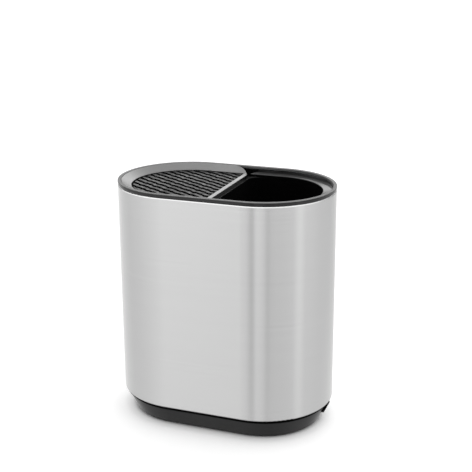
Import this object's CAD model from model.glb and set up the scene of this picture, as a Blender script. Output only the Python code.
import math

import bpy
from mathutils import Matrix, Vector

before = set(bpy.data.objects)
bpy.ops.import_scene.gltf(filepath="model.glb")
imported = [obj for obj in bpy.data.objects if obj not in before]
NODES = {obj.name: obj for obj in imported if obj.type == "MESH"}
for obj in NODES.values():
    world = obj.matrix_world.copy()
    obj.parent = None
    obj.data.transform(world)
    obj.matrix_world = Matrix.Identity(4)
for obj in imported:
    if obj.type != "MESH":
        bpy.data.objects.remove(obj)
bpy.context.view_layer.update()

# Camera: the photograph's place and angle around the object, in metres and radians
PITCH = math.radians(17.111)
ROLL = math.radians(0.285)
YAW = math.radians(20.579)
DISTANCE = 0.98026
AIM_HEIGHT = 0.1125
AIM_RIGHT = 0.00897
AIM_UP = 0.0568
SENSOR = 36.0
FOCAL_PIXELS = 1035.86
IMAGE_PIXELS = 472
CLIP_START = 0.05
CLIP_END = 50

# Tent near the floor: brightness by direction, in degrees from the front towards the right.
# The strips are what the sleeve mirrors at the camera's height, and the calm is what lies below them.
STRIPS = [
    (0, 0.56), (5.5, 0.96), (12, 0.93), (18, 0.82), (24, 0.6), (30, 0.74), (44, 0.78), (63, 0.84), (77, 1.08),
    (90, 0.91), (129, 0.85), (150, 0.8), (175, 0.82), (213, 1.0), (223, 0.98), (243, 0.9), (270, 0.83),
    (290, 0.87), (308, 0.94), (327, 0.99), (335, 1.07), (338, 1.06), (340, 0.96), (346, 0.9), (352.5, 0.8),
    (357.5, 0.56),
]
CALM = [
    (0, 0.84), (5.5, 0.94), (14, 0.93), (24, 0.84), (44, 0.87), (63, 0.88), (77, 0.99), (92, 0.88),
    (129, 0.85), (165, 0.95), (213, 1.05), (243, 0.92), (270, 0.86), (300, 0.89), (320, 0.97), (335, 1.03),
    (342, 1.02), (350, 0.93), (357, 0.85),
]
# Tent above the floor: brightness by height in degrees, in front of the object and behind it
FRONT = [(-8, 1.7), (12, 1.85), (74, 1.85), (84, 0.8), (90, 0.35)]
BEHIND = [
    (0, 0.1), (10, 0.3), (15, 1.85), (18.5, 1.85), (20.5, 0.75), (24.5, 1.5), (28, 1.5), (32, 0.75),
    (38, 0.62), (46, 0.46), (60, 0.4), (73, 0.36), (90, 0.34),
]
# By direction: 0 where the front's heights hold, 1 where those behind do
SIDES = [(0, 0.0), (90, 0.15), (140, 1.0), (240, 1.0), (290, 0.15), (359, 0.0)]
# By height: how much of the light near the floor is left
LOW = [(-90, 0.6), (-60, 0.7), (-46, 0.5), (-32, 1.0)]
# By height: where the strips take over from the calm, and the upper tent from the lower one
STRIPS_FROM = [(-28, 0.0), (-20, 1.0)]
HIGH_FROM = [(-7, 0.0), (0, 1.0)]
# A ramp's colours end at 1, so brightnesses up to this one are divided by it
BRIGHTEST = 2.0
TENT_LEVEL = 1.04
# Light for rough surfaces: its level, and how much more of it comes from behind than from the sides
FILL_LEVEL = 0.9
BACK_SHARE = 1.0

# Floor: half its side and the reach of the contact shadow in metres, the paper's grey,
# and the extra light that the camera sees by how open a spot is
FLOOR_HALF = 6.0
CONTACT_REACH = 0.011
CONTACT_SAMPLES = 12
PAPER = 0.85
FLOOR_GLOW = [(0.3, 0.0), (0.5, 0.33), (1.0, 0.46)]

# Brushed steel: waves per metre round the sleeve and up it, their shares, and the steel's clouds
FINE_SCRATCHES = (12, 12, 9000)
COARSE_SCRATCHES = (6, 6, 1400)
FINE_SHARE = 0.6
STEEL_CLOUDS = 9.0
CLOUD_SHARE = 0.3
# Its grey levels, its roughness, how far scratches stretch its reflections, and their depth in metres
STEEL_DARK = 0.545
STEEL_LIGHT = 0.635
STEEL_WORN = 0.7
STEEL_ROUGH = (0.16, 0.25)
STEEL_STRETCH = 0.85
QUARTER_TURN = 0.25
SCRATCH_STRENGTH = 0.06
SCRATCH_DEPTH = 0.0002

# Black plastics: grey levels, roughness, and their orange peel in waves per metre and metres deep
BLACK_GLOSS = dict(dark=0.003, light=0.006, rough=0.12, peel_waves=350.0, peel_depth=0.00004)
BLACK_CUP = dict(dark=0.004, light=0.008, rough=0.22, peel_waves=500.0, peel_depth=0.00005)
BLACK_DEEP = dict(dark=0.002, light=0.004, rough=0.42, peel_waves=900.0, peel_depth=0.00006, ior=1.3)
SLAT_PLASTIC = dict(
    dark=0.0015, light=0.0035, rough=0.2, peel_waves=500.0, peel_depth=0.00015, ior=1.31, dulled=0.2,
)
PLASTIC_IOR = 1.5
PEEL_STRENGTH = 0.2
# Where the streaks run, the roughness is this much below or above its level
SMOOTHER = 0.85
ROUGHER = 1.2
# Streaks and scuffs in waves per metre, where a scuff begins and ends, and how worn edges look
STREAKS = 30.0
SCUFFS = 220.0
SCUFF_EDGES = [(0.38, 0.0), (0.62, 1.0)]
PLASTIC_WORN = 0.02
WORN_DULL = 0.12
BLUE_CAST = 1.05

# Tray: grain in waves per metre and metres deep, grey levels, roughness, and gloss in shade and in light
TRAY_GRAIN = 1100.0
TRAY_GRAIN_STRENGTH = 0.25
TRAY_GRAIN_DEPTH = 0.00006
TRAY_DARK = 0.001
TRAY_LIGHT = 0.016
TRAY_ROUGH = (0.28, 0.36)
TRAY_GLOSS = (0.03, 0.3)
# Where its foot ends and its neck and lug begin, in metres
FOOT_Z = 0.0019
NECK_Z = 0.0169
LUG_X = 0.09
LUG_Z = 0.0092
LUG_HALF = 0.0034

# Silver paints: grey levels, flakes and clouds in waves per metre, metal share, roughness
FRAME_SILVER = dict(dark=0.37, light=0.5)
RIM_SILVER = dict(dark=0.135, light=0.185)
FLAKES = 2600.0
FLAKE_STRENGTH = 0.15
FLAKE_DEPTH = 0.0001
PAINT_CLOUDS = 40.0
PAINT_METAL = 0.85
PAINT_ROUGH = (0.3, 0.42)
PAINT_WORN = 1.3

# Rubber: grain in waves per metre and metres deep, grey levels and roughness
RUBBER_GRAIN = 900.0
RUBBER_STRENGTH = 0.5
RUBBER_DEPTH = 0.0002
RUBBER_DARK = 0.02
RUBBER_LIGHT = 0.045
RUBBER_ROUGH = (0.7, 0.9)

# Wear: how far it reaches from an edge in metres, where it starts by the bend, and its patches
STEEL_EDGE = 0.0006
PLASTIC_EDGE = 0.0005
PAINT_EDGE = 0.0004
WEAR_BY_BEND = [(0.8, 1.0), (0.98, 0.0)]
WEAR_WAVES = 260.0
WEAR_PATCHES = [(0.35, 0.25), (0.65, 1.0)]
EDGE_SAMPLES = 4

# Sockets of a colour mix node, which share their names with others
MIX_FIRST = 6
MIX_SECOND = 7
MIX_RESULT = 2
# Where a new stop goes before it gets its own place
RAMP_MIDDLE = 0.5


def grey(level):
    """A colour without a tint."""
    return (level, level, level, 1)


def near_black(level):
    """A grey with the faint blue of black plastic."""
    return (level, level, level * BLUE_CAST, 1)


def by_direction(levels):
    """Stops in degrees round the object, as a ramp's stops."""
    return [(degrees / 360, level) for degrees, level in levels]


def by_height(levels, brightest=1.0):
    """Stops in degrees above the horizon, as a ramp's stops."""
    return [((90 + degrees) / 180, level / brightest) for degrees, level in levels]


class Nodes:
    """A short way to build a node tree."""

    def __init__(self, tree):
        self.tree = tree
        tree.nodes.clear()

    def add(self, kind, **values):
        node = self.tree.nodes.new(kind)
        for name, value in values.items():
            setattr(node, name, value)
        return node

    def link(self, out_socket, in_socket):
        self.tree.links.new(out_socket, in_socket)

    def put(self, node, name, value):
        """Sets a socket, or links to it when the value is another node's output."""
        socket = node.inputs[name]
        if isinstance(value, bpy.types.NodeSocket):
            self.link(value, socket)
        else:
            socket.default_value = value

    def math(self, operation, first, second=0.0, third=0.0):
        node = self.add("ShaderNodeMath", operation=operation)
        for index, value in enumerate((first, second, third)):
            self.put(node, index, value)
        return node.outputs[0]

    def times(self, value, factor):
        return self.math("MULTIPLY", value, factor)

    def ramp(self, fac, stops, interpolation="LINEAR"):
        node = self.add("ShaderNodeValToRGB")
        node.color_ramp.interpolation = interpolation
        elements = node.color_ramp.elements
        while len(elements) < len(stops):
            elements.new(RAMP_MIDDLE)
        for element, (position, level) in zip(elements, stops):
            element.position = position
            element.color = grey(level)
        self.put(node, "Fac", fac)
        return node.outputs["Color"]

    def range(self, value, low, high):
        """Spreads a 0 to 1 value between two values."""
        node = self.add("ShaderNodeMapRange")
        self.put(node, "Value", value)
        self.put(node, "To Min", low)
        self.put(node, "To Max", high)
        return node.outputs["Result"]

    def mix(self, fac, first, second):
        """Between two colours, each a value or another node's output."""
        node = self.add("ShaderNodeMix", data_type="RGBA")
        self.put(node, "Factor", fac)
        self.put(node, MIX_FIRST, first)
        self.put(node, MIX_SECOND, second)
        return node.outputs[MIX_RESULT]

    def split(self, vector):
        node = self.add("ShaderNodeSeparateXYZ")
        self.put(node, "Vector", vector)
        return node.outputs

    def place(self, scale=(1, 1, 1)):
        """Object coordinates in metres, stretched."""
        coord = self.add("ShaderNodeTexCoord")
        mapping = self.add("ShaderNodeMapping")
        self.put(mapping, "Scale", scale)
        self.put(mapping, "Vector", coord.outputs["Object"])
        return mapping.outputs["Vector"]

    def noise(self, vector, scale, detail=2.0, rough=0.5):
        node = self.add("ShaderNodeTexNoise")
        self.put(node, "Vector", vector)
        self.put(node, "Scale", scale)
        self.put(node, "Detail", detail)
        self.put(node, "Roughness", rough)
        return node.outputs["Fac"]

    def speckle(self, waves):
        """Fine grain, the same in every direction."""
        return self.noise(self.place(), waves, detail=3.0, rough=0.6)

    def streaks(self):
        """What a mould's filling leaves, longer upwards."""
        return self.noise(self.place((1, 1, 0.6)), STREAKS, detail=3.0, rough=0.55)

    def wear(self, reach):
        """0 on open faces, up to 1 in patches along the edges, where hands and cloths rub."""
        soft = self.add("ShaderNodeBevel", samples=EDGE_SAMPLES)
        self.put(soft, "Radius", reach)
        face = self.add("ShaderNodeNewGeometry")
        bend = self.add("ShaderNodeVectorMath", operation="DOT_PRODUCT")
        self.put(bend, 0, soft.outputs["Normal"])
        self.put(bend, 1, face.outputs["Normal"])
        edge = self.ramp(bend.outputs["Value"], WEAR_BY_BEND)
        patch = self.ramp(self.speckle(WEAR_WAVES), WEAR_PATCHES)
        return self.times(edge, patch)

    def bump(self, height, strength, distance):
        node = self.add("ShaderNodeBump")
        self.put(node, "Height", height)
        self.put(node, "Strength", strength)
        self.put(node, "Distance", distance)
        return node.outputs["Normal"]

    def background(self, colour, strength):
        node = self.add("ShaderNodeBackground")
        self.put(node, "Color", colour)
        self.put(node, "Strength", strength)
        return node.outputs["Background"]

    def choose(self, answer, no, yes):
        """One of two shaders, by a light path's answer."""
        node = self.add("ShaderNodeMixShader")
        self.put(node, "Fac", answer)
        self.put(node, 1, no)
        self.put(node, 2, yes)
        return node.outputs["Shader"]


def new_material(name):
    """A material with an empty tree but for a surface shader."""
    material = bpy.data.materials.new(name)
    material.use_nodes = True
    n = Nodes(material.node_tree)
    shader = n.add("ShaderNodeBsdfPrincipled")
    out = n.add("ShaderNodeOutputMaterial")
    n.put(out, "Surface", shader.outputs["BSDF"])
    return material, n, shader


def brushed_steel():
    """Stainless steel with fine scratches round the oval."""
    material, n, shader = new_material("brushed_sleeve")
    fine = n.noise(n.place(FINE_SCRATCHES), 1.0, detail=3.0, rough=0.6)
    coarse = n.noise(n.place(COARSE_SCRATCHES), 1.0)
    clouds = n.noise(n.place(), STEEL_CLOUDS)
    grain = n.math("ADD", n.times(fine, FINE_SHARE), n.times(coarse, 1 - FINE_SHARE))
    uneven = n.math("ADD", n.times(grain, 1 - CLOUD_SHARE), n.times(clouds, CLOUD_SHARE))
    plain = n.mix(grain, grey(STEEL_DARK), grey(STEEL_LIGHT))
    tangent = n.add("ShaderNodeTangent", direction_type="RADIAL", axis="Z")
    n.put(shader, "Base Color", n.mix(n.wear(STEEL_EDGE), plain, grey(STEEL_WORN)))
    n.put(shader, "Metallic", 1.0)
    n.put(shader, "Roughness", n.range(uneven, *STEEL_ROUGH))
    n.put(shader, "Anisotropic", STEEL_STRETCH)
    n.put(shader, "Anisotropic Rotation", QUARTER_TURN)
    n.put(shader, "Tangent", tangent.outputs["Tangent"])
    n.put(shader, "Normal", n.bump(grain, SCRATCH_STRENGTH, SCRATCH_DEPTH))
    return material


def black_plastic(name, dark, light, rough, peel_waves, peel_depth, ior=PLASTIC_IOR, dulled=0.0):
    """Moulded black plastic: faint streaks, fine orange peel, worn edges and dulled patches."""
    material, n, shader = new_material(name)
    streaks = n.streaks()
    peel = n.noise(n.place(), peel_waves)
    worn = n.wear(PLASTIC_EDGE)
    scuffs = n.ramp(n.speckle(SCUFFS), SCUFF_EDGES)
    rubbed = n.math("ADD", n.times(worn, WORN_DULL), n.times(scuffs, dulled))
    plain = n.mix(streaks, near_black(dark), near_black(light))
    smooth = n.range(streaks, rough * SMOOTHER, rough * ROUGHER)
    n.put(shader, "Base Color", n.mix(worn, plain, near_black(PLASTIC_WORN)))
    n.put(shader, "Roughness", n.math("ADD", rubbed, smooth))
    n.put(shader, "IOR", ior)
    n.put(shader, "Normal", n.bump(peel, PEEL_STRENGTH, peel_depth))
    return material


def silver_paint(name, dark, light):
    """Satin silver paint on plastic, with the paint's fine flakes and bright worn edges."""
    material, n, shader = new_material(name)
    flakes = n.noise(n.place(), FLAKES, detail=1.0)
    clouds = n.noise(n.place(), PAINT_CLOUDS)
    plain = n.mix(flakes, grey(dark), grey(light))
    n.put(shader, "Base Color", n.mix(n.wear(PAINT_EDGE), plain, grey(light * PAINT_WORN)))
    n.put(shader, "Metallic", PAINT_METAL)
    n.put(shader, "Roughness", n.range(clouds, *PAINT_ROUGH))
    n.put(shader, "Normal", n.bump(flakes, FLAKE_STRENGTH, FLAKE_DEPTH))
    return material


def tray_plastic():
    """The tray's black plastic, dull and unlit at its foot, in its neck and on its lug."""
    material, n, shader = new_material("tray_plastic")
    spot = n.split(n.place())
    foot = n.math("LESS_THAN", spot["Z"], FOOT_Z)
    neck = n.math("GREATER_THAN", spot["Z"], NECK_Z)
    lug = n.math("LESS_THAN", n.math("ABSOLUTE", spot["Y"]), LUG_HALF)
    lug = n.times(lug, n.math("GREATER_THAN", spot["X"], LUG_X))
    lug = n.times(lug, n.math("GREATER_THAN", spot["Z"], LUG_Z))
    shaded = n.math("MAXIMUM", n.math("MAXIMUM", neck, lug), foot)
    lit = n.math("SUBTRACT", 1.0, shaded)
    streaks = n.streaks()
    grain = n.speckle(TRAY_GRAIN)
    n.put(shader, "Base Color", n.mix(n.times(streaks, lit), grey(TRAY_DARK), near_black(TRAY_LIGHT)))
    n.put(shader, "Roughness", n.range(streaks, *TRAY_ROUGH))
    n.put(shader, "Specular IOR Level", n.range(lit, *TRAY_GLOSS))
    n.put(shader, "Normal", n.bump(grain, TRAY_GRAIN_STRENGTH, TRAY_GRAIN_DEPTH))
    return material


def pad_rubber():
    """Soft black rubber with a coarse grain."""
    material, n, shader = new_material("pad_rubber")
    grain = n.speckle(RUBBER_GRAIN)
    n.put(shader, "Base Color", n.mix(grain, grey(RUBBER_DARK), grey(RUBBER_LIGHT)))
    n.put(shader, "Roughness", n.range(grain, *RUBBER_ROUGH))
    n.put(shader, "Normal", n.bump(grain, RUBBER_STRENGTH, RUBBER_DEPTH))
    return material


def dress(material, *names):
    """Gives nodes a material, and keeps their meshes."""
    for name in names:
        mesh = NODES[name].data
        mesh.materials.clear()
        mesh.materials.append(material)


def dress_all():
    slats = [name for name in NODES if name.startswith("slat_") and name != "slat_carrier"]
    dress(brushed_steel(), "steel_sleeve")
    dress(black_plastic("black_gloss", **BLACK_GLOSS), "rim_band", "utensil_cup")
    dress(black_plastic("black_cup", **BLACK_CUP), "knife_cup")
    dress(black_plastic("black_deep", **BLACK_DEEP), "slat_carrier")
    dress(black_plastic("slat_plastic", **SLAT_PLASTIC), *slats)
    dress(tray_plastic(), "base_tray")
    dress(silver_paint("frame_silver", **FRAME_SILVER), "knife_frame")
    dress(silver_paint("rim_silver", **RIM_SILVER), "rim_ring")
    dress(pad_rubber(), "pads")


def make_camera():
    """Stands where the photograph was taken."""
    back = Vector((
        math.sin(YAW) * math.cos(PITCH),
        -math.cos(YAW) * math.cos(PITCH),
        math.sin(PITCH),
    ))
    right = Vector((math.cos(YAW), math.sin(YAW), 0))
    up = back.cross(right)
    place = Vector((0, 0, AIM_HEIGHT)) + back * DISTANCE + right * AIM_RIGHT + up * AIM_UP
    x_axis = right * math.cos(ROLL) - up * math.sin(ROLL)
    y_axis = right * math.sin(ROLL) + up * math.cos(ROLL)
    data = bpy.data.cameras.new("photo_camera")
    data.sensor_width = SENSOR
    data.lens = SENSOR * FOCAL_PIXELS / IMAGE_PIXELS
    data.clip_start = CLIP_START
    data.clip_end = CLIP_END
    data.dof.use_dof = False
    camera = bpy.data.objects.new("photo_camera", data)
    turn = Matrix((x_axis, y_axis, back)).transposed().to_4x4()
    camera.matrix_world = Matrix.Translation(place) @ turn
    bpy.context.collection.objects.link(camera)
    bpy.context.scene.camera = camera


def tent_colour(n, way):
    """What shiny surfaces see: strips near the floor, a bright front, a band behind, a darker zenith."""
    # 0 at -Y, growing towards +X: a quarter is +X, a half is +Y
    turn = n.math("ARCTAN2", way["X"], n.times(way["Y"], -1.0))
    share = n.math("FRACT", n.math("DIVIDE", turn, math.tau))
    # 0 straight down, a half level, 1 straight up
    rise = n.math("ADD", n.math("DIVIDE", n.math("ARCSINE", way["Z"]), math.pi), 0.5)
    strips = n.ramp(share, by_direction(STRIPS), "EASE")
    calm = n.ramp(share, by_direction(CALM), "EASE")
    lower = n.mix(n.ramp(rise, by_height(STRIPS_FROM)), calm, strips)
    lower = n.times(lower, n.ramp(rise, by_height(LOW)))
    front = n.ramp(rise, by_height(FRONT, BRIGHTEST), "EASE")
    behind = n.ramp(rise, by_height(BEHIND, BRIGHTEST), "EASE")
    upper = n.mix(n.ramp(share, by_direction(SIDES), "EASE"), front, behind)
    return n.mix(n.ramp(rise, by_height(HIGH_FROM)), n.times(lower, 1 / BRIGHTEST), upper)


def make_world():
    """White for the camera, the tent for shiny surfaces and soft light for the rest."""
    world = bpy.data.worlds.new("white_tent")
    bpy.context.scene.world = world
    world.use_nodes = True
    n = Nodes(world.node_tree)
    way = n.split(n.add("ShaderNodeTexCoord").outputs["Generated"])
    path = n.add("ShaderNodeLightPath").outputs
    tent = n.background(tent_colour(n, way), TENT_LEVEL * BRIGHTEST)
    fill = n.background(grey(1), n.math("MULTIPLY_ADD", way["Y"], FILL_LEVEL * BACK_SHARE, FILL_LEVEL))
    seen = n.background(grey(1), 1.0)
    light = n.choose(path["Is Glossy Ray"], fill, tent)
    out = n.add("ShaderNodeOutputWorld")
    n.put(out, "Surface", n.choose(path["Is Camera Ray"], light, seen))


def floor_paper():
    """White paper with a contact shadow, a little brighter to the camera and clear to reflections."""
    material = bpy.data.materials.new("floor_white")
    material.use_nodes = True
    n = Nodes(material.node_tree)
    path = n.add("ShaderNodeLightPath").outputs
    paper = n.add("ShaderNodeBsdfDiffuse")
    n.put(paper, "Color", grey(PAPER))
    openness = n.add("ShaderNodeAmbientOcclusion", samples=CONTACT_SAMPLES)
    n.put(openness, "Distance", CONTACT_REACH)
    glow = n.add("ShaderNodeEmission")
    n.put(glow, "Strength", n.ramp(openness.outputs["AO"], FLOOR_GLOW))
    lit = n.add("ShaderNodeAddShader")
    n.put(lit, 0, paper.outputs["BSDF"])
    n.put(lit, 1, glow.outputs["Emission"])
    clear = n.add("ShaderNodeBsdfTransparent").outputs["BSDF"]
    by_camera = n.choose(path["Is Camera Ray"], paper.outputs["BSDF"], lit.outputs["Shader"])
    out = n.add("ShaderNodeOutputMaterial")
    n.put(out, "Surface", n.choose(path["Is Glossy Ray"], by_camera, clear))
    return material


def make_floor():
    """A plain floor that belongs to the studio and not to the object."""
    half = FLOOR_HALF
    corners = [(-half, -half, 0), (half, -half, 0), (half, half, 0), (-half, half, 0)]
    mesh = bpy.data.meshes.new("floor")
    mesh.from_pydata(corners, [], [(0, 1, 2, 3)])
    mesh.materials.append(floor_paper())
    floor = bpy.data.objects.new("floor", mesh)
    bpy.context.collection.objects.link(floor)


make_camera()
make_world()
make_floor()
dress_all()

view_settings = bpy.context.scene.view_settings
view_settings.view_transform = "Standard"
